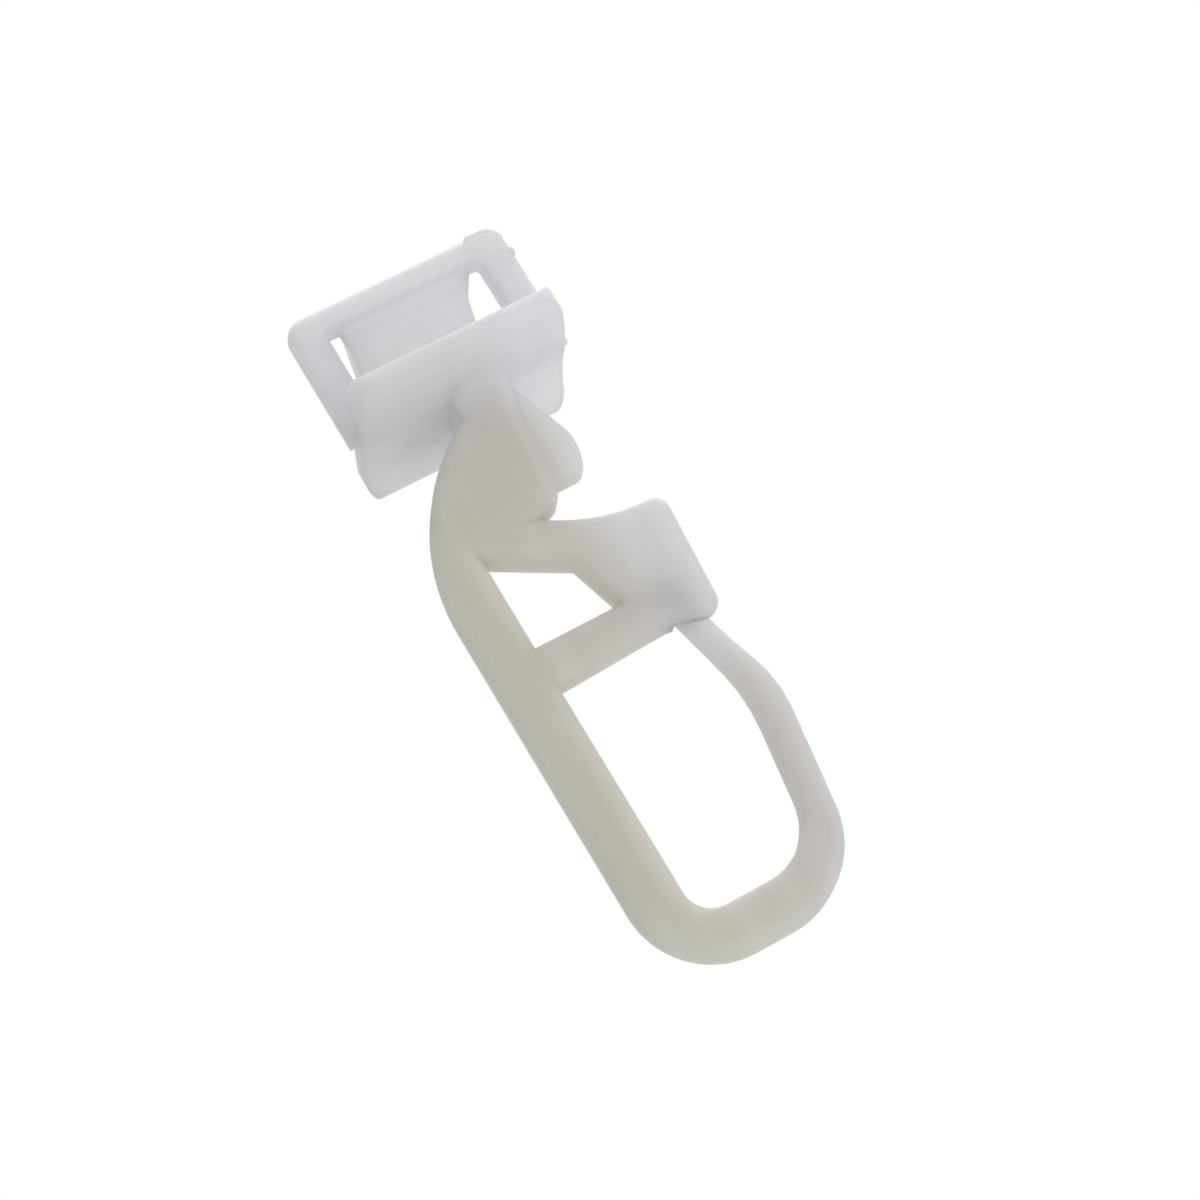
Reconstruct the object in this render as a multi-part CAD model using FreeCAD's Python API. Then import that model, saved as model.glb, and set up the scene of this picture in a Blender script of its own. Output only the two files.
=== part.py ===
"""Click-in curtain rail glider with a pleat hook, moulded in one piece of natural plastic.

Frame: X runs along the rail, Z points up, the viewer's side is -Y. The origin is the middle of the
saddle plate's upper face, where the plate lies against the underside of the rail. Millimetres.
Sizes that end in _DROP are depths below the origin.
"""
import math
import os

import FreeCAD
import Part

# Saddle plate under the rail: a wave in section, up at the front edge and down at the back edge
PLATE_INSET = 0.5
PLATE_DEPTH = 9.8
PLATE_THICKNESS = 1.0
PLATE_RISE = 1.0
PLATE_CORNER_FRONT = 1.2
PLATE_CORNER_BACK = 1.7

# Frame that stands on the plate inside the rail: a ridge on two bands
FRAME_LENGTH = 12.7
FRAME_HEIGHT = 6.95
FRAME_THICKNESS = 1.1
FRAME_CORNER = 1.1
BAND_WIDTH = 1.85
RIDGE_HEIGHT = 1.45

# Mould marks on the ridge's right end: a low pad on its top and a nub on its side
MARK_HEIGHT = 0.2
PAD_LENGTH = 1.9
NUB_LENGTH = 0.5
NUB_DROP = 1.35

# Spring leaf that rolls back and down from the ridge and snaps over the rail's lip
LEAF_GAP = 1.1
LEAF_THICKNESS = 0.9
LEAF_REACH = 4.3
LEAF_ROOT_FLARE = 0.45
LEAF_ROLL = 1.6
RAIL_LIP = 1.2
RAIL_CLEARANCE = 0.5

# Neck through the rail's slot, flared to the plate at the front and the back
NECK_WIDTH = 3.2
NECK_OFFSET = 0.83
NECK_TAPER = 0.95
NECK_CORNER = 0.6
NECK_END_CORNER = 1.0
NECK_DROP = 8.2
FLARE_REACH = 3.9
FLARE_DROP = 4.2
FLARE_RADIUS_FRONT = 4.0
FLARE_RADIUS_BACK = 2.8

# Stem and hook, one bar of even depth with rounded rims
BAR_DEPTH = 2.4
BAR_ROUND = 0.68
STEM_REACH = 6.4
STEM_WIDTH = 2.73
SHOULDER_TOP_DROP = 1.84
SHOULDER_DROP = 6.35
SHOULDER_RADIUS = 11.0
HOOK_DROP = 32.92
HOOK_BOTTOM = 2.6
HOOK_CORNER_STEM = 4.6
HOOK_CORNER_PRONG = 5.0
EYE_CORNER_STEM = 1.5
EYE_CORNER_PRONG = 3.6

# Prong, bent inwards and thinned to its back half at the tip
PRONG_REACH = 6.24
PRONG_WIDTH = 1.65
PRONG_BEND_DROP = 21.4
PRONG_BEND_SPAN = 1.8
PRONG_LEAN = 0.14
PRONG_SECTIONS = 8
TIP_LEAN = 0.25
TIP_WIDTH = 1.5
TIP_LAP = 3.2
TIP_ROUND = 0.4

# Arm, catch tab and crossbar around a window, in one plane with the stem
NOTCH_DROP = 8.65
ARM_BEND_X = 2.9
ARM_BEND_DROP = 10.18
ARM_BEND_RADIUS = 9.5
WINDOW_TOP_DROP = 9.25
WINDOW_KNEE_X = 0.35
WINDOW_KNEE_DROP = 11.5
WINDOW_TIP_X = 1.28
TAB_REACH = 6.2
TAB_TOP_DROP = 10.25
TAB_BOTTOM_DROP = 17.25
TAB_TAPER = 0.5
TAB_THICKNESS = 1.1
TAB_CORNER = 0.8
TAB_HEEL_X = 2.9
TAB_HEEL_DROP = 16.55
TAB_HEEL_RADIUS = 2.0
CROSSBAR_TOP_DROP = 14.45
CROSSBAR_BOTTOM_DROP = 16.85
CATCH_CLEARANCE = 0.2

# Petal-shaped fin beside the neck
FIN_TOP_X = 2.25
FIN_TOP_DROP = 1.0
FIN_REACH = 4.05
FIN_WIDEST_DROP = 5.65
FIN_WIDEST_RADIUS = 3.0
FIN_FOOT_X = 3.3
FIN_DROP = 7.4
FIN_THICKNESS = 1.7
FIN_CORNER = 0.6
FIN_ROUND = 0.5

# Small rounding of the moulded edges
EDGE = 0.3

PLATE_LENGTH = FRAME_LENGTH - 2 * PLATE_INSET
PLATE_MIDDLE = -PLATE_THICKNESS / 2
LEAF_WIDTH = FRAME_LENGTH - 2 * (BAND_WIDTH + LEAF_GAP)
NECK_LEFT = NECK_OFFSET - NECK_WIDTH / 2
NECK_RIGHT = NECK_OFFSET + NECK_WIDTH / 2
BAR_HALF = BAR_DEPTH / 2
BAR_RIM = min(BAR_ROUND, 0.42 * PRONG_WIDTH, 0.45 * BAR_DEPTH, 0.9 * TAB_CORNER, 0.9 * NECK_END_CORNER)
STEM_INNER = STEM_WIDTH - STEM_REACH
PRONG_CUT_DROP = PRONG_BEND_DROP + PRONG_BEND_SPAN
TIP_TOP_DROP = TAB_BOTTOM_DROP - TIP_LAP
TAB_BACK = TAB_THICKNESS - BAR_HALF
TIP_FRONT = TAB_BACK + CATCH_CLEARANCE


def in_xz(u, v):
    return FreeCAD.Vector(u, 0, v)


def in_xy(u, v):
    return FreeCAD.Vector(u, v, 0)


def in_yz(u, v):
    return FreeCAD.Vector(0, u, v)


def rounded_face(corners, place):
    """Face of a polygon with corners (u, v, radius), rounded by arcs as large as its sides have room for."""
    count = len(corners)
    points = [FreeCAD.Vector(u, v, 0) for u, v, radius in corners]
    sides = [points[(i + 1) % count] - points[i] for i in range(count)]
    halves = [sides[i].getAngle(-sides[i - 1]) / 2 for i in range(count)]
    reaches = [corner[2] / math.tan(half) for corner, half in zip(corners, halves)]
    wanted = [reaches[i] + reaches[(i + 1) % count] for i in range(count)]
    shares = [min(1, side.Length / max(want, EDGE)) for side, want in zip(sides, wanted)]
    rounds = []
    for i, here in enumerate(points):
        reach = reaches[i] * min(shares[i - 1], shares[i])
        radius = reach * math.tan(halves[i])
        before = (-sides[i - 1]).normalize()
        after = FreeCAD.Vector(sides[i]).normalize()
        inward = (before + after).normalize()
        crown = here + inward * (radius / math.sin(halves[i]) - radius)
        rounds.append((here + before * reach, crown, here + after * reach))
    edges = []
    for i, (first, crown, last) in enumerate(rounds):
        if first != last:
            edges.append(Part.Arc(*[place(p.x, p.y) for p in (first, crown, last)]).toShape())
        following = rounds[(i + 1) % count][0]
        if last.distanceToPoint(following) > Part.Vertex(last).Tolerance:
            edges.append(Part.LineSegment(place(last.x, last.y), place(following.x, following.y)).toShape())
    return Part.Face(Part.Wire(edges))


def prism(face, direction, start):
    """Solid swept from a face along a direction, moved so that it begins at start along it."""
    solid = face.extrude(direction)
    unit = FreeCAD.Vector(direction).normalize()
    solid.translate(unit * start)
    return solid


def slab(corners, front, back):
    """Solid of an outline in XZ between y = front and y = back."""
    return prism(rounded_face(corners, in_xz), FreeCAD.Vector(0, back - front, 0), front)


def rims(solid):
    """Edges around the front and back faces of a slab: all but those that run from front to back."""
    return [e for e in solid.Edges if abs(e.tangentAt(e.FirstParameter).y) < 0.5]


def plate():
    """Wave-shaped saddle plate with rounded edges and corners."""
    half = PLATE_DEPTH / 2 - PLATE_THICKNESS / 2
    radius = (half ** 2 + PLATE_RISE ** 2) / (2 * PLATE_RISE)
    swing = math.asin(half / radius)
    inner = radius - PLATE_THICKNESS / 2
    outer = radius + PLATE_THICKNESS / 2

    def front(r, share):
        turn = swing * share
        return in_yz(-r * math.sin(turn), PLATE_MIDDLE + radius - r * math.cos(turn))

    def back(r, share):
        turn = swing * share
        return in_yz(r * math.sin(turn), PLATE_MIDDLE - radius + r * math.cos(turn))

    cap = in_yz(math.cos(swing), -math.sin(swing)) * (PLATE_THICKNESS / 2)
    edges = [
        Part.Arc(front(inner, 1), front(inner, 0.5), front(inner, 0)).toShape(),
        Part.Arc(back(outer, 0), back(outer, 0.5), back(outer, 1)).toShape(),
        Part.Arc(back(outer, 1), back(radius, 1) + cap, back(inner, 1)).toShape(),
        Part.Arc(back(inner, 1), back(inner, 0.5), back(inner, 0)).toShape(),
        Part.Arc(front(outer, 0), front(outer, 0.5), front(outer, 1)).toShape(),
        Part.Arc(front(outer, 1), front(radius, 1) - cap, front(inner, 1)).toShape(),
    ]
    wave = prism(Part.Face(Part.Wire(edges)), FreeCAD.Vector(PLATE_LENGTH, 0, 0), -PLATE_LENGTH / 2)
    x = PLATE_LENGTH / 2
    y = PLATE_DEPTH / 2
    corners = [
        (-x, -y, PLATE_CORNER_FRONT),
        (x, -y, PLATE_CORNER_FRONT),
        (x, y, PLATE_CORNER_BACK),
        (-x, y, PLATE_CORNER_BACK),
    ]
    tall = 2 * (PLATE_RISE + PLATE_THICKNESS)
    return wave.common(prism(rounded_face(corners, in_xy), FreeCAD.Vector(0, 0, 2 * tall), -tall))


def frame():
    """Ridge on two bands, standing on the plate's middle line."""
    x = FRAME_LENGTH / 2
    y = FRAME_THICKNESS / 2
    outline = [
        (-x, PLATE_MIDDLE, 0),
        (x, PLATE_MIDDLE, 0),
        (x, FRAME_HEIGHT, FRAME_CORNER),
        (-x, FRAME_HEIGHT, FRAME_CORNER),
    ]
    body = slab(outline, -y, y)
    body = body.makeChamfer(EDGE, rims(body))
    gap = x - BAND_WIDTH
    top = FRAME_HEIGHT - RIDGE_HEIGHT
    below = PLATE_MIDDLE - PLATE_THICKNESS
    opening = [(-gap, below, 0), (gap, below, 0), (gap, top, EDGE), (-gap, top, EDGE)]
    return body.cut(slab(opening, -FRAME_THICKNESS, FRAME_THICKNESS))


def mould_marks():
    """Low pad on the top of the ridge's right end and a nub on its side, left by the mould."""
    y = FRAME_THICKNESS / 2 - EDGE
    end = FRAME_LENGTH / 2
    sunk = FRAME_CORNER / 2
    pad_left = end - PAD_LENGTH
    pad_top = FRAME_HEIGHT + MARK_HEIGHT
    pad = [
        (pad_left, FRAME_HEIGHT - sunk, 0),
        (end, FRAME_HEIGHT - sunk - MARK_HEIGHT, 0),
        (end, pad_top, FRAME_CORNER - MARK_HEIGHT),
        (pad_left, pad_top, MARK_HEIGHT),
    ]
    nub_top = FRAME_HEIGHT - NUB_DROP
    nub_bottom = nub_top - NUB_LENGTH
    nub_right = end + MARK_HEIGHT
    nub = [
        (end - sunk, nub_bottom, 0),
        (nub_right, nub_bottom, MARK_HEIGHT),
        (nub_right, nub_top, MARK_HEIGHT),
        (end - sunk, nub_top, 0),
    ]
    return [slab(corners, -y, y) for corners in (pad, nub)]


def leaf():
    """Spring leaf that rolls off the ridge's front face, with a wider root and a tip above the rail's lip."""
    top = FRAME_HEIGHT - EDGE
    root = FRAME_HEIGHT - RIDGE_HEIGHT
    tip = RAIL_LIP + RAIL_CLEARANCE - PLATE_RISE
    front = -FRAME_THICKNESS / 2
    knee_y = LEAF_REACH - 1.5 * LEAF_THICKNESS
    knee_z = (tip + root) / 2
    profile = [
        (front, top, 0),
        (-front, top, LEAF_THICKNESS),
        (knee_y + LEAF_THICKNESS, knee_z + LEAF_THICKNESS / 2, 2 * LEAF_THICKNESS),
        (LEAF_REACH, tip, LEAF_THICKNESS / 3),
        (LEAF_REACH - LEAF_THICKNESS, tip, LEAF_THICKNESS / 3),
        (knee_y, knee_z - LEAF_THICKNESS / 4, LEAF_THICKNESS),
        (front, root + EDGE, LEAF_ROLL),
    ]
    half = LEAF_WIDTH / 2
    wide = half + LEAF_ROOT_FLARE
    strip = prism(rounded_face(profile, in_yz), FreeCAD.Vector(2 * wide, 0, 0), -wide)
    waist = FRAME_THICKNESS / 2 + LEAF_ROOT_FLARE
    right = [(wide, 0, 0), (half, waist, LEAF_ROOT_FLARE), (half, LEAF_REACH, LEAF_THICKNESS)]
    left = [(-x, y, radius) for x, y, radius in reversed(right)]
    plan = [(-wide, -FRAME_THICKNESS, 0), (wide, -FRAME_THICKNESS, 0)] + right + left
    return strip.common(prism(rounded_face(plan, in_xy), FreeCAD.Vector(0, 0, FRAME_HEIGHT), 0))


def neck_right(drop):
    """X of the neck's right side, which leans in from the plate to the neck's end."""
    return NECK_RIGHT - NECK_TAPER * drop / NECK_DROP


def neck_flare():
    """Neck's upper end, flared in smooth arcs to the plate's underside at the front and the back."""
    root = PLATE_MIDDLE - PLATE_THICKNESS
    lift = PLATE_RISE * (FLARE_REACH / (PLATE_DEPTH / 2)) ** 2
    far = 2 * FLARE_REACH

    def ramp(y, toe):
        return root + (toe - root) * (y - BAR_HALF) / (FLARE_REACH - BAR_HALF)

    profile = [
        (-far, ramp(far, PLATE_MIDDLE + lift), 0),
        (-BAR_HALF, root, FLARE_RADIUS_FRONT),
        (-BAR_HALF, -FLARE_DROP, 0),
        (BAR_HALF, -FLARE_DROP, 0),
        (BAR_HALF, root, FLARE_RADIUS_BACK),
        (far, ramp(far, PLATE_MIDDLE - lift), 0),
        (far, far, 0),
        (-far, far, 0),
    ]
    outline = [
        (NECK_LEFT, far, 0),
        (NECK_LEFT, -FLARE_DROP, 0),
        (neck_right(FLARE_DROP), -FLARE_DROP, 0),
        (neck_right(-far), far, 0),
    ]
    above = [
        (-far, PLATE_MIDDLE + 2 * lift, 0),
        (far, PLATE_MIDDLE - 2 * lift, 0),
        (far, 2 * far, 0),
        (-far, 2 * far, 0),
    ]
    across = FreeCAD.Vector(2 * far, 0, 0)
    body = prism(rounded_face(profile, in_yz), across, -far).common(slab(outline, -far, far))
    flanks = [e for e in body.Edges if abs(e.tangentAt(e.FirstParameter).x) < 0.5]
    front = [e for e in flanks if -far + EDGE < e.CenterOfMass.y < EDGE - BAR_HALF]
    back = [e for e in flanks if BAR_HALF - EDGE < e.CenterOfMass.y < far - EDGE]
    back_points = [e.CenterOfMass for e in back]
    body = body.makeFillet(BAR_RIM, front)
    back = [e for e in body.Edges if any(e.CenterOfMass.isEqual(p, EDGE / 10) for p in back_points)]
    body = body.makeChamfer(BAR_RIM / 2, back)
    return body.cut(prism(rounded_face(above, in_yz), across, -far))


def prong_right(drop):
    """X of the prong's outer side: two straight runs, joined by a tangent curve at the bend."""
    below = drop - PRONG_BEND_DROP
    away = abs(below)
    if away < PRONG_BEND_SPAN:
        away = (below ** 2 + PRONG_BEND_SPAN ** 2) / (2 * PRONG_BEND_SPAN)
    return PRONG_REACH - away * (PRONG_LEAN + TIP_LEAN) / 2 - below * (PRONG_LEAN - TIP_LEAN) / 2


def bar():
    """Neck, shouldered stem, crossbar, catch tab and hook as one rounded bar, up to the prong's bend."""
    eye_drop = HOOK_DROP - HOOK_BOTTOM
    cut_x = prong_right(PRONG_CUT_DROP)
    outline = [
        (NECK_LEFT, PLATE_MIDDLE, 0),
        (NECK_LEFT, -SHOULDER_TOP_DROP, NECK_CORNER),
        (-STEM_REACH, -SHOULDER_DROP, SHOULDER_RADIUS),
        (-STEM_REACH, -HOOK_DROP, HOOK_CORNER_STEM),
        (prong_right(HOOK_DROP), -HOOK_DROP, HOOK_CORNER_PRONG),
        (cut_x, -PRONG_CUT_DROP, 0),
        (cut_x - PRONG_WIDTH, -PRONG_CUT_DROP, 0),
        (prong_right(eye_drop) - PRONG_WIDTH, -eye_drop, EYE_CORNER_PRONG),
        (STEM_INNER, -eye_drop, EYE_CORNER_STEM),
        (STEM_INNER, -CROSSBAR_BOTTOM_DROP, 0),
        (TAB_HEEL_X, -TAB_HEEL_DROP, TAB_HEEL_RADIUS),
        (TAB_REACH - TAB_TAPER, -TAB_BOTTOM_DROP, TAB_CORNER),
        (TAB_REACH, -TAB_TOP_DROP, TAB_CORNER),
        (ARM_BEND_X, -ARM_BEND_DROP, ARM_BEND_RADIUS),
        (0, -NOTCH_DROP, 0),
        (neck_right(NECK_DROP), -NECK_DROP, NECK_END_CORNER),
        (neck_right(-PLATE_MIDDLE), PLATE_MIDDLE, 0),
    ]
    window = [
        (STEM_INNER, -WINDOW_TOP_DROP, 0),
        (WINDOW_KNEE_X, -WINDOW_KNEE_DROP, 0),
        (WINDOW_TIP_X, -CROSSBAR_TOP_DROP, 0),
        (STEM_INNER, -CROSSBAR_TOP_DROP, 0),
    ]
    body = slab(outline, -BAR_HALF, BAR_HALF).cut(slab(window, -BAR_DEPTH, BAR_DEPTH))
    cut_middle = FreeCAD.Vector(cut_x - PRONG_WIDTH / 2, 0, -PRONG_CUT_DROP)
    around = [e for e in rims(body) if e.CenterOfMass.distanceToPoint(cut_middle) > BAR_HALF + EDGE]
    body = body.makeFillet(BAR_RIM, around)
    cut_face = min(body.Faces, key=lambda face: face.CenterOfMass.distanceToPoint(cut_middle))
    return body, cut_face


def tab_recess():
    """Room behind the catch tab for the prong's tip, as wide at the left as the tip's lean and clearance."""
    def left(drop):
        return prong_right(drop) - TIP_WIDTH - 2 * CATCH_CLEARANCE

    beyond = 2 * TAB_REACH
    below = TAB_BOTTOM_DROP + EDGE
    corners = [
        (left(NOTCH_DROP), -NOTCH_DROP, 0),
        (beyond, -NOTCH_DROP, 0),
        (beyond, -below, 0),
        (left(below), -below, 0),
    ]
    return slab(corners, TAB_BACK, BAR_DEPTH)


def prong_tip(cut_face):
    """Prong's upper end, lofted from the bar's cut face: it thins to the back half behind the tab."""
    settled_drop = TAB_BOTTOM_DROP + CATCH_CLEARANCE
    tip_round = min(TIP_ROUND, 0.4 * (BAR_HALF - TIP_FRONT), 0.4 * TIP_WIDTH)
    wires = [cut_face.OuterWire]
    for i in range(1, PRONG_SECTIONS + 1):
        drop = PRONG_CUT_DROP + (TIP_TOP_DROP - PRONG_CUT_DROP) * i / PRONG_SECTIONS
        share = min(1, (PRONG_CUT_DROP - drop) / (PRONG_CUT_DROP - settled_drop))
        ease = share * share * (3 - 2 * share)
        width = PRONG_WIDTH + (TIP_WIDTH - PRONG_WIDTH) * ease
        front = -BAR_HALF + (TIP_FRONT + BAR_HALF) * ease
        corner = BAR_RIM + (tip_round - BAR_RIM) * ease
        right = prong_right(drop)
        corners = [
            (right - width, front, corner),
            (right, front, corner),
            (right, BAR_HALF, corner),
            (right - width, BAR_HALF, corner),
        ]
        section = rounded_face(corners, in_xy)
        section.translate(FreeCAD.Vector(0, 0, -drop))
        wires.append(section.OuterWire)
    return Part.makeLoft(wires, True, True)


def hook():
    """Bar with the recess behind its tab, and the prong's tip that springs into it."""
    body, cut_face = bar()
    return body.cut(tab_recess()).fuse(prong_tip(cut_face))


def fin():
    """Petal-shaped fin that fills the corner between the neck and the plate."""
    outline = [
        (NECK_OFFSET, -FIN_TOP_DROP, 0),
        (FIN_TOP_X, -FIN_TOP_DROP, 0),
        (FIN_REACH, -FIN_WIDEST_DROP, FIN_WIDEST_RADIUS),
        (FIN_FOOT_X, -FIN_DROP, FIN_CORNER),
        (NECK_OFFSET, -FIN_DROP, 0),
    ]
    body = slab(outline, -FIN_THICKNESS / 2, FIN_THICKNESS / 2)
    outer = [e for e in rims(body) if e.CenterOfMass.x > NECK_OFFSET + EDGE]
    free = [e for e in outer if e.CenterOfMass.z < -FIN_TOP_DROP - EDGE]
    return body.makeFillet(min(FIN_ROUND, 0.9 * FIN_CORNER, 0.45 * FIN_THICKNESS), free)


pieces = [frame(), leaf(), neck_flare(), hook(), fin()] + mould_marks()
curtain_hook = plate().multiFuse(pieces).removeSplitter()
print("valid", curtain_hook.isValid(), "solids", len(curtain_hook.Solids), "volume", curtain_hook.Volume)
os.makedirs("parts", exist_ok=True)
curtain_hook.Solids[0].exportStep("parts/curtain_hook.step")
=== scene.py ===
"""Looks for the curtain hook: natural translucent plastic under soft white studio light. Metres."""
import math

import bpy
from mathutils import Matrix, Vector

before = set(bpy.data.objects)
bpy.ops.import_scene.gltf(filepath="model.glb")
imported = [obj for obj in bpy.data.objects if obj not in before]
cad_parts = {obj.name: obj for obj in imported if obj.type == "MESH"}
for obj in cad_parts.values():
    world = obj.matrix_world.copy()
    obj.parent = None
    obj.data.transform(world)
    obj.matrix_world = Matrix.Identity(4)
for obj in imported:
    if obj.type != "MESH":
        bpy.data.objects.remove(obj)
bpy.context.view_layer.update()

MM = 0.001
WHITE = (1, 1, 1, 1)

# The photograph's viewing angle: below the hook and a little to its left, with the camera rolled
VIEW_AZIMUTH = math.radians(-15.67)
VIEW_ELEVATION = math.radians(-16.08)
VIEW_ROLL = math.radians(-31.62)
VIEW_DISTANCE = 176.1 * MM
VIEW_TARGET = Vector((0.643, 0, -13.58)) * MM
VIEW_WIDTH = 60 * MM
SENSOR_WIDTH = 36
NEAREST_SEEN = 1 * MM

# Linear colours of the plastic: cool in the thin head, warmer in the neck, greenish in the thick stem.
# The paler, cooler tones of the thin parts are painted light shining through them; the warm greenish
# tint where thick is the plastic's own
STEM_COLOUR = (0.675, 0.659, 0.582, 1)
PRONG_COLOUR = (0.685, 0.655, 0.63, 1)
NECK_COLOUR = (0.695, 0.66, 0.615, 1)
TAB_COLOUR = (0.81, 0.785, 0.76, 1)
# Painted shade on the plate's left part, and painted light at its right end
PLATE_SHADED_COLOUR = (0.705, 0.705, 0.72, 1)
PLATE_LIT_END_COLOUR = (0.825, 0.82, 0.905, 1)
# Painted light on the top of the head: the ridge lit from above, and the thin leaf behind it lit
# through
RIDGE_LIT_COLOUR = (0.86, 0.85, 0.935, 1)
LEAF_LIT_THROUGH_COLOUR = (0.985, 0.97, 1, 1)

# Where one colour fades into the next along X, from and to
STEM_TO_PRONG = (-5 * MM, 5 * MM)
SHOULDER_TO_NECK = (-5 * MM, -1 * MM)
NECK_TO_TAB = (0.5 * MM, 4 * MM)
# The plate's painted shade fades into painted light at its right end
PLATE_SHADE_TO_LIT_END = (-0.5 * MM, 4.5 * MM)

# The same along Y
# Painted light shining through the thin leaf behind the ridge
RIDGE_TO_LIT_LEAF = (0.3 * MM, 2.5 * MM)

# The same along Z
STEM_TO_NECK = (-26 * MM, -6 * MM)
NECK_TO_PLATE = (-4.5 * MM, 0.5 * MM)
# Painted light from above: lighter towards the top of the head
PLATE_TO_LIT_TOP = (0, 5 * MM)

# Values between which most of a noise lies
NOISE_RANGE = (0.3, 0.7)

# Streaks of the flow in the mould: along the rail in the head, up and down in the hook
FLOW_LINE_WIDTH = 1.2 * MM
FLOW_LINE_TONE = (0.965, 1.03)
FLOW_ALONG_X = (0.15, 1, 1)
FLOW_ALONG_Z = (1, 1, 0.15)

# Cloudy patches in the plastic
CLOUD_SIZE = 6 * MM
CLOUD_TONE = (0.98, 1.02)

# Satin moulded skin and soft edges
SKIN_GRAIN = 0.5 * MM
SKIN_DETAIL = 4.0
SKIN_DEPTH = 0.03 * MM
SKIN_STRENGTH = 0.08
EDGE_RADIUS = 0.7 * MM
EDGE_SAMPLES = 8
GLOSS_PATCH = 2 * MM
ROUGHNESS = (0.5, 0.62)
REFRACTION = 1.5
SHINE = 0.25

# How far light spreads inside the plastic, and the share of that for red, green and blue
LIGHT_SPREAD = 4.5 * MM
LIGHT_SPREAD_SHARES = (1.0, 0.98, 0.92)

FLOOR_LEVEL = -160 * MM
FLOOR_SIZE = 4.0
FLOOR_COLOUR = (0.93, 0.93, 0.93, 1)
FLOOR_ROUGHNESS = 0.8
FLOOR_FADE = (0.1, 1.6)
FLOOR_GLOW = 0.62

FILL_COLOUR = (0.965, 0.975, 1, 1)
FILL_STRENGTH = 0.44
LIGHT_DISTANCE = 0.5
KEY_DIRECTION = (0.55, -0.8, 0.3)
KEY_SIZE = 0.35
KEY_POWER = 0.34
TOP_DIRECTION = (0.3, 0.3, 0.9)
TOP_SIZE = 0.5
TOP_POWER = 1.3


class Nodes:
    """Short way to add and link shader nodes."""

    def __init__(self, tree):
        self.tree = tree
        tree.nodes.clear()

    def add(self, kind, **settings):
        node = self.tree.nodes.new(kind)
        for name, value in settings.items():
            setattr(node, name, value)
        return node

    def link(self, source, target):
        self.tree.links.new(source, target)


def new_material(name):
    material = bpy.data.materials.new(name)
    material.use_nodes = True
    return material, Nodes(material.node_tree)


def noise(nodes, coordinates, size, detail=2.0):
    """Noise whose features are about the given size across."""
    texture = nodes.add("ShaderNodeTexNoise")
    texture.inputs["Scale"].default_value = 1 / size
    texture.inputs["Detail"].default_value = detail
    nodes.link(coordinates, texture.inputs["Vector"])
    return texture.outputs["Fac"]


def stretched(nodes, coordinates, scale):
    """Coordinates drawn out along the axes whose scale is small."""
    mapping = nodes.add("ShaderNodeMapping")
    mapping.inputs["Scale"].default_value = scale
    nodes.link(coordinates, mapping.inputs["Vector"])
    return mapping.outputs["Vector"]


def spread(nodes, value, source, target=(0, 1), smooth=False):
    """Value carried over from a source range to a target range and kept within it."""
    carried = nodes.add("ShaderNodeMapRange", interpolation_type="SMOOTHSTEP" if smooth else "LINEAR")
    carried.inputs["From Min"].default_value, carried.inputs["From Max"].default_value = source
    carried.inputs["To Min"].default_value, carried.inputs["To Max"].default_value = target
    nodes.link(value, carried.inputs["Value"])
    return carried.outputs["Result"]


def uneven(nodes, coordinates, size, limits):
    """Number that drifts between limits in patches of about the given size."""
    return spread(nodes, noise(nodes, coordinates, size), NOISE_RANGE, limits)


def blend_colours(nodes, share, first, second, kind="MIX"):
    """Mix of two colours, each a fixed colour or a socket, by a share that is a number or a socket."""
    mix = nodes.add("ShaderNodeMix", data_type="RGBA", blend_type=kind)
    for name, value in {"Factor": share, "A": first, "B": second}.items():
        if isinstance(value, bpy.types.NodeSocket):
            nodes.link(value, mix.inputs[name])
        else:
            mix.inputs[name].default_value = value
    return mix.outputs["Result"]


def fade(nodes, along, reach, first, second):
    """Colour that fades smoothly from one to another over a reach along an axis."""
    return blend_colours(nodes, spread(nodes, along, reach, smooth=True), first, second)


def toned(nodes, colour, tone):
    """Colour made lighter or darker by a tone around 1."""
    return blend_colours(nodes, 1.0, colour, tone, "MULTIPLY")


def flow_lines(nodes, coordinates, scale, colour):
    """Colour with the faint streaks that the plastic leaves along its way through the mould."""
    along = stretched(nodes, coordinates, scale)
    return toned(nodes, colour, uneven(nodes, along, FLOW_LINE_WIDTH, FLOW_LINE_TONE))


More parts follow.
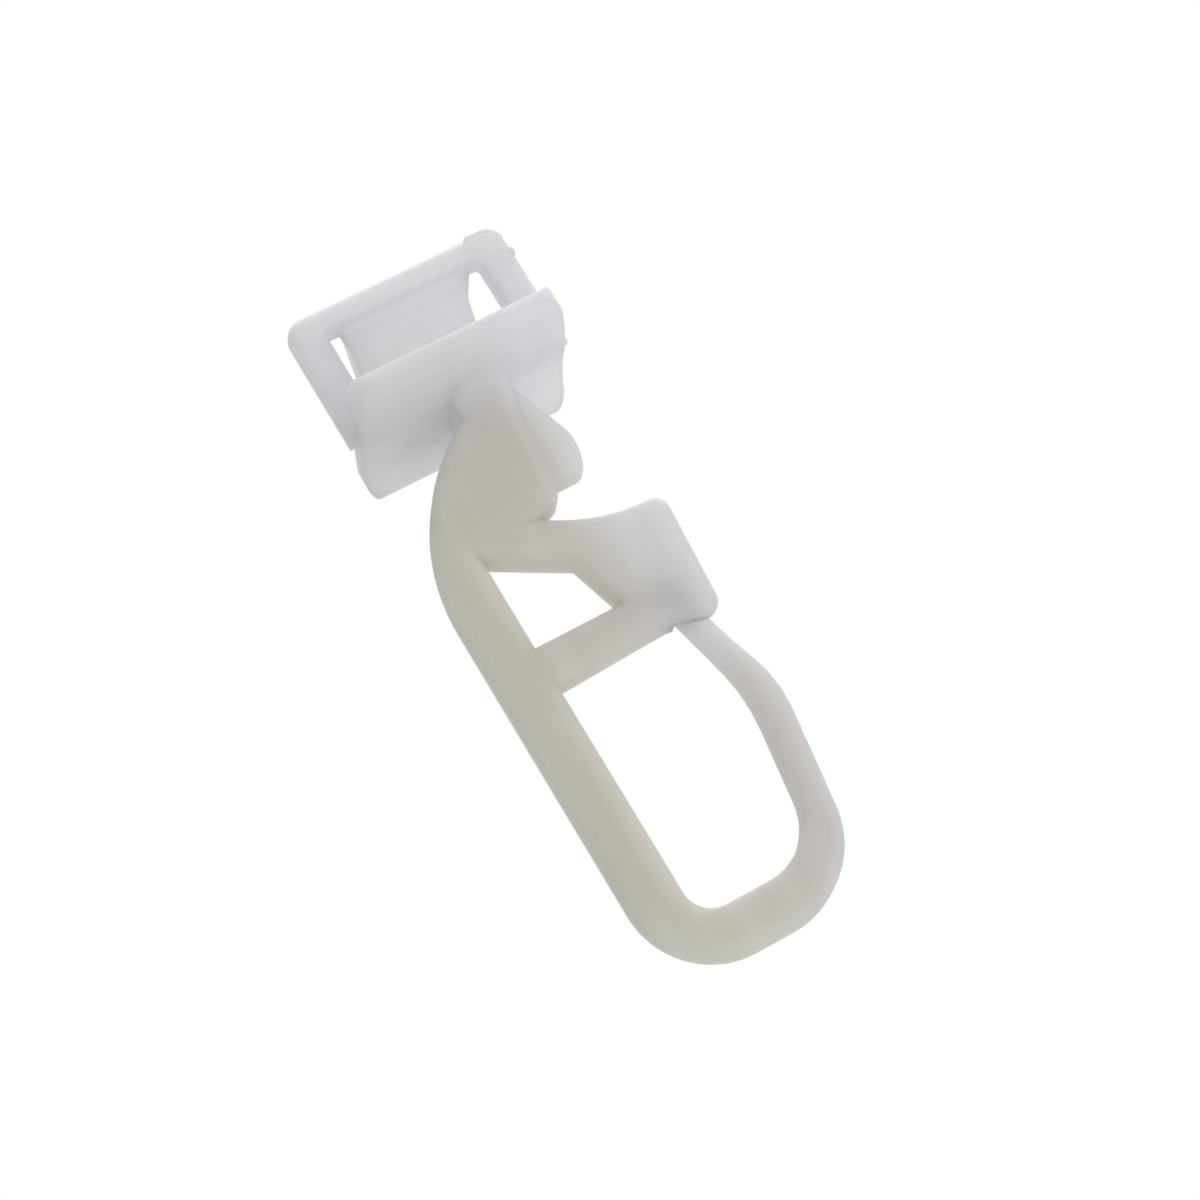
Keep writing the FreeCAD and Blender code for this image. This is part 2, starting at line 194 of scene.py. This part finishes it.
def plastic_colour(nodes, coordinates):
    """Colour over the whole hook: pale and cool where thin, which is painted light shining through the
    thin walls; warmer and greyer where thick, where the warm tint is the plastic's own.
    """
    axes = nodes.add("ShaderNodeSeparateXYZ")
    nodes.link(coordinates, axes.inputs["Vector"])
    x, y, z = (axes.outputs[name] for name in "XYZ")

    lower = fade(nodes, x, STEM_TO_PRONG, STEM_COLOUR, PRONG_COLOUR)
    shoulder = fade(nodes, x, SHOULDER_TO_NECK, STEM_COLOUR, NECK_COLOUR)
    middle = fade(nodes, x, NECK_TO_TAB, shoulder, TAB_COLOUR)
    body = fade(nodes, z, STEM_TO_NECK, lower, middle)

    # Painted shade on the plate's left part, fading into painted light at its right end
    plate_shade_and_light = fade(nodes, x, PLATE_SHADE_TO_LIT_END, PLATE_SHADED_COLOUR, PLATE_LIT_END_COLOUR)
    # Painted light: the ridge lit from above, and the leaf behind it lit through from above
    painted_light_top = fade(nodes, y, RIDGE_TO_LIT_LEAF, RIDGE_LIT_COLOUR, LEAF_LIT_THROUGH_COLOUR)
    # Lighter towards the top of the head: painted light from above
    head = fade(nodes, z, PLATE_TO_LIT_TOP, plate_shade_and_light, painted_light_top)

    streaked_body = flow_lines(nodes, coordinates, FLOW_ALONG_Z, body)
    streaked_head = flow_lines(nodes, coordinates, FLOW_ALONG_X, head)
    whole = fade(nodes, z, NECK_TO_PLATE, streaked_body, streaked_head)
    return toned(nodes, whole, uneven(nodes, coordinates, CLOUD_SIZE, CLOUD_TONE))


def moulded_skin(nodes, coordinates):
    """Surface direction with soft edges and a fine grain."""
    soft_edge = nodes.add("ShaderNodeBevel", samples=EDGE_SAMPLES)
    soft_edge.inputs["Radius"].default_value = EDGE_RADIUS
    skin = nodes.add("ShaderNodeBump")
    skin.inputs["Strength"].default_value = SKIN_STRENGTH
    skin.inputs["Distance"].default_value = SKIN_DEPTH
    nodes.link(noise(nodes, coordinates, SKIN_GRAIN, SKIN_DETAIL), skin.inputs["Height"])
    nodes.link(soft_edge.outputs["Normal"], skin.inputs["Normal"])
    return skin.outputs["Normal"]


def natural_plastic():
    """Translucent white plastic with a satin moulded skin."""
    material, nodes = new_material("natural_plastic")
    output = nodes.add("ShaderNodeOutputMaterial")
    shader = nodes.add("ShaderNodeBsdfPrincipled")
    nodes.link(shader.outputs["BSDF"], output.inputs["Surface"])
    coordinates = nodes.add("ShaderNodeTexCoord").outputs["Object"]

    nodes.link(plastic_colour(nodes, coordinates), shader.inputs["Base Color"])
    nodes.link(moulded_skin(nodes, coordinates), shader.inputs["Normal"])
    nodes.link(uneven(nodes, coordinates, GLOSS_PATCH, ROUGHNESS), shader.inputs["Roughness"])

    shader.inputs["IOR"].default_value = REFRACTION
    shader.inputs["Specular IOR Level"].default_value = SHINE
    shader.inputs["Subsurface Weight"].default_value = 1.0
    shader.inputs["Subsurface Radius"].default_value = LIGHT_SPREAD_SHARES
    shader.inputs["Subsurface Scale"].default_value = LIGHT_SPREAD
    return material


def floor_paint():
    """Matt off-white studio floor that fades into the white surroundings away from the hook."""
    material, nodes = new_material("studio_floor")
    output = nodes.add("ShaderNodeOutputMaterial")
    shader = nodes.add("ShaderNodeBsdfPrincipled")
    shader.inputs["Base Color"].default_value = FLOOR_COLOUR
    shader.inputs["Roughness"].default_value = FLOOR_ROUGHNESS
    shader.inputs["Emission Color"].default_value = WHITE
    distance = nodes.add("ShaderNodeVectorMath", operation="LENGTH")
    nodes.link(nodes.add("ShaderNodeTexCoord").outputs["Object"], distance.inputs[0])
    glow = spread(nodes, distance.outputs["Value"], FLOOR_FADE, (0, FLOOR_GLOW), smooth=True)
    nodes.link(glow, shader.inputs["Emission Strength"])
    nodes.link(shader.outputs["BSDF"], output.inputs["Surface"])
    return material


def add_floor():
    bpy.ops.mesh.primitive_plane_add(size=FLOOR_SIZE, location=(0, 0, FLOOR_LEVEL))
    floor = bpy.context.object
    floor.name = "studio_floor"
    floor.data.materials.append(floor_paint())


def add_area_light(name, direction, size, power):
    """Square soft light that faces the hook from a direction."""
    data = bpy.data.lights.new(name, "AREA")
    data.size = size
    data.energy = power
    light = bpy.data.objects.new(name, data)
    bpy.context.scene.collection.objects.link(light)
    away = Vector(direction).normalized()
    light.location = VIEW_TARGET + away * LIGHT_DISTANCE
    light.rotation_mode = "QUATERNION"
    light.rotation_quaternion = (-away).to_track_quat("-Z", "Y")


def add_world():
    """White surroundings: they fill every shadow, and the background stays white."""
    world = bpy.data.worlds.new("studio")
    world.use_nodes = True
    nodes = Nodes(world.node_tree)
    output = nodes.add("ShaderNodeOutputWorld")
    fill = nodes.add("ShaderNodeBackground")
    fill.inputs["Color"].default_value = FILL_COLOUR
    fill.inputs["Strength"].default_value = FILL_STRENGTH
    background = nodes.add("ShaderNodeBackground")
    background.inputs["Color"].default_value = WHITE
    background.inputs["Strength"].default_value = 1.0
    path = nodes.add("ShaderNodeLightPath")
    seen = nodes.add("ShaderNodeMixShader")
    nodes.link(path.outputs["Is Camera Ray"], seen.inputs["Fac"])
    nodes.link(fill.outputs["Background"], seen.inputs[1])
    nodes.link(background.outputs["Background"], seen.inputs[2])
    nodes.link(seen.outputs["Shader"], output.inputs["Surface"])
    bpy.context.scene.world = world


def add_camera():
    """Camera at the photograph's angle, distance and roll."""
    a = VIEW_AZIMUTH
    e = VIEW_ELEVATION
    back = Vector((math.sin(a) * math.cos(e), -math.cos(a) * math.cos(e), math.sin(e)))
    level_right = Vector((math.cos(a), math.sin(a), 0))
    level_up = back.cross(level_right)
    right = math.cos(VIEW_ROLL) * level_right + math.sin(VIEW_ROLL) * level_up
    up = back.cross(right)
    data = bpy.data.cameras.new("camera")
    data.sensor_width = SENSOR_WIDTH
    data.lens = SENSOR_WIDTH * VIEW_DISTANCE / VIEW_WIDTH
    data.clip_start = NEAREST_SEEN
    camera = bpy.data.objects.new("camera", data)
    bpy.context.scene.collection.objects.link(camera)
    turn = Matrix((right, up, back)).transposed().to_4x4()
    camera.matrix_world = Matrix.Translation(VIEW_TARGET + back * VIEW_DISTANCE) @ turn
    bpy.context.scene.camera = camera


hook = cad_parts["curtain_hook"]
hook.data.materials.clear()
hook.data.materials.append(natural_plastic())

add_floor()
add_world()
add_area_light("key", KEY_DIRECTION, KEY_SIZE, KEY_POWER)
add_area_light("top", TOP_DIRECTION, TOP_SIZE, TOP_POWER)
add_camera()
bpy.context.scene.view_settings.view_transform = "Standard"
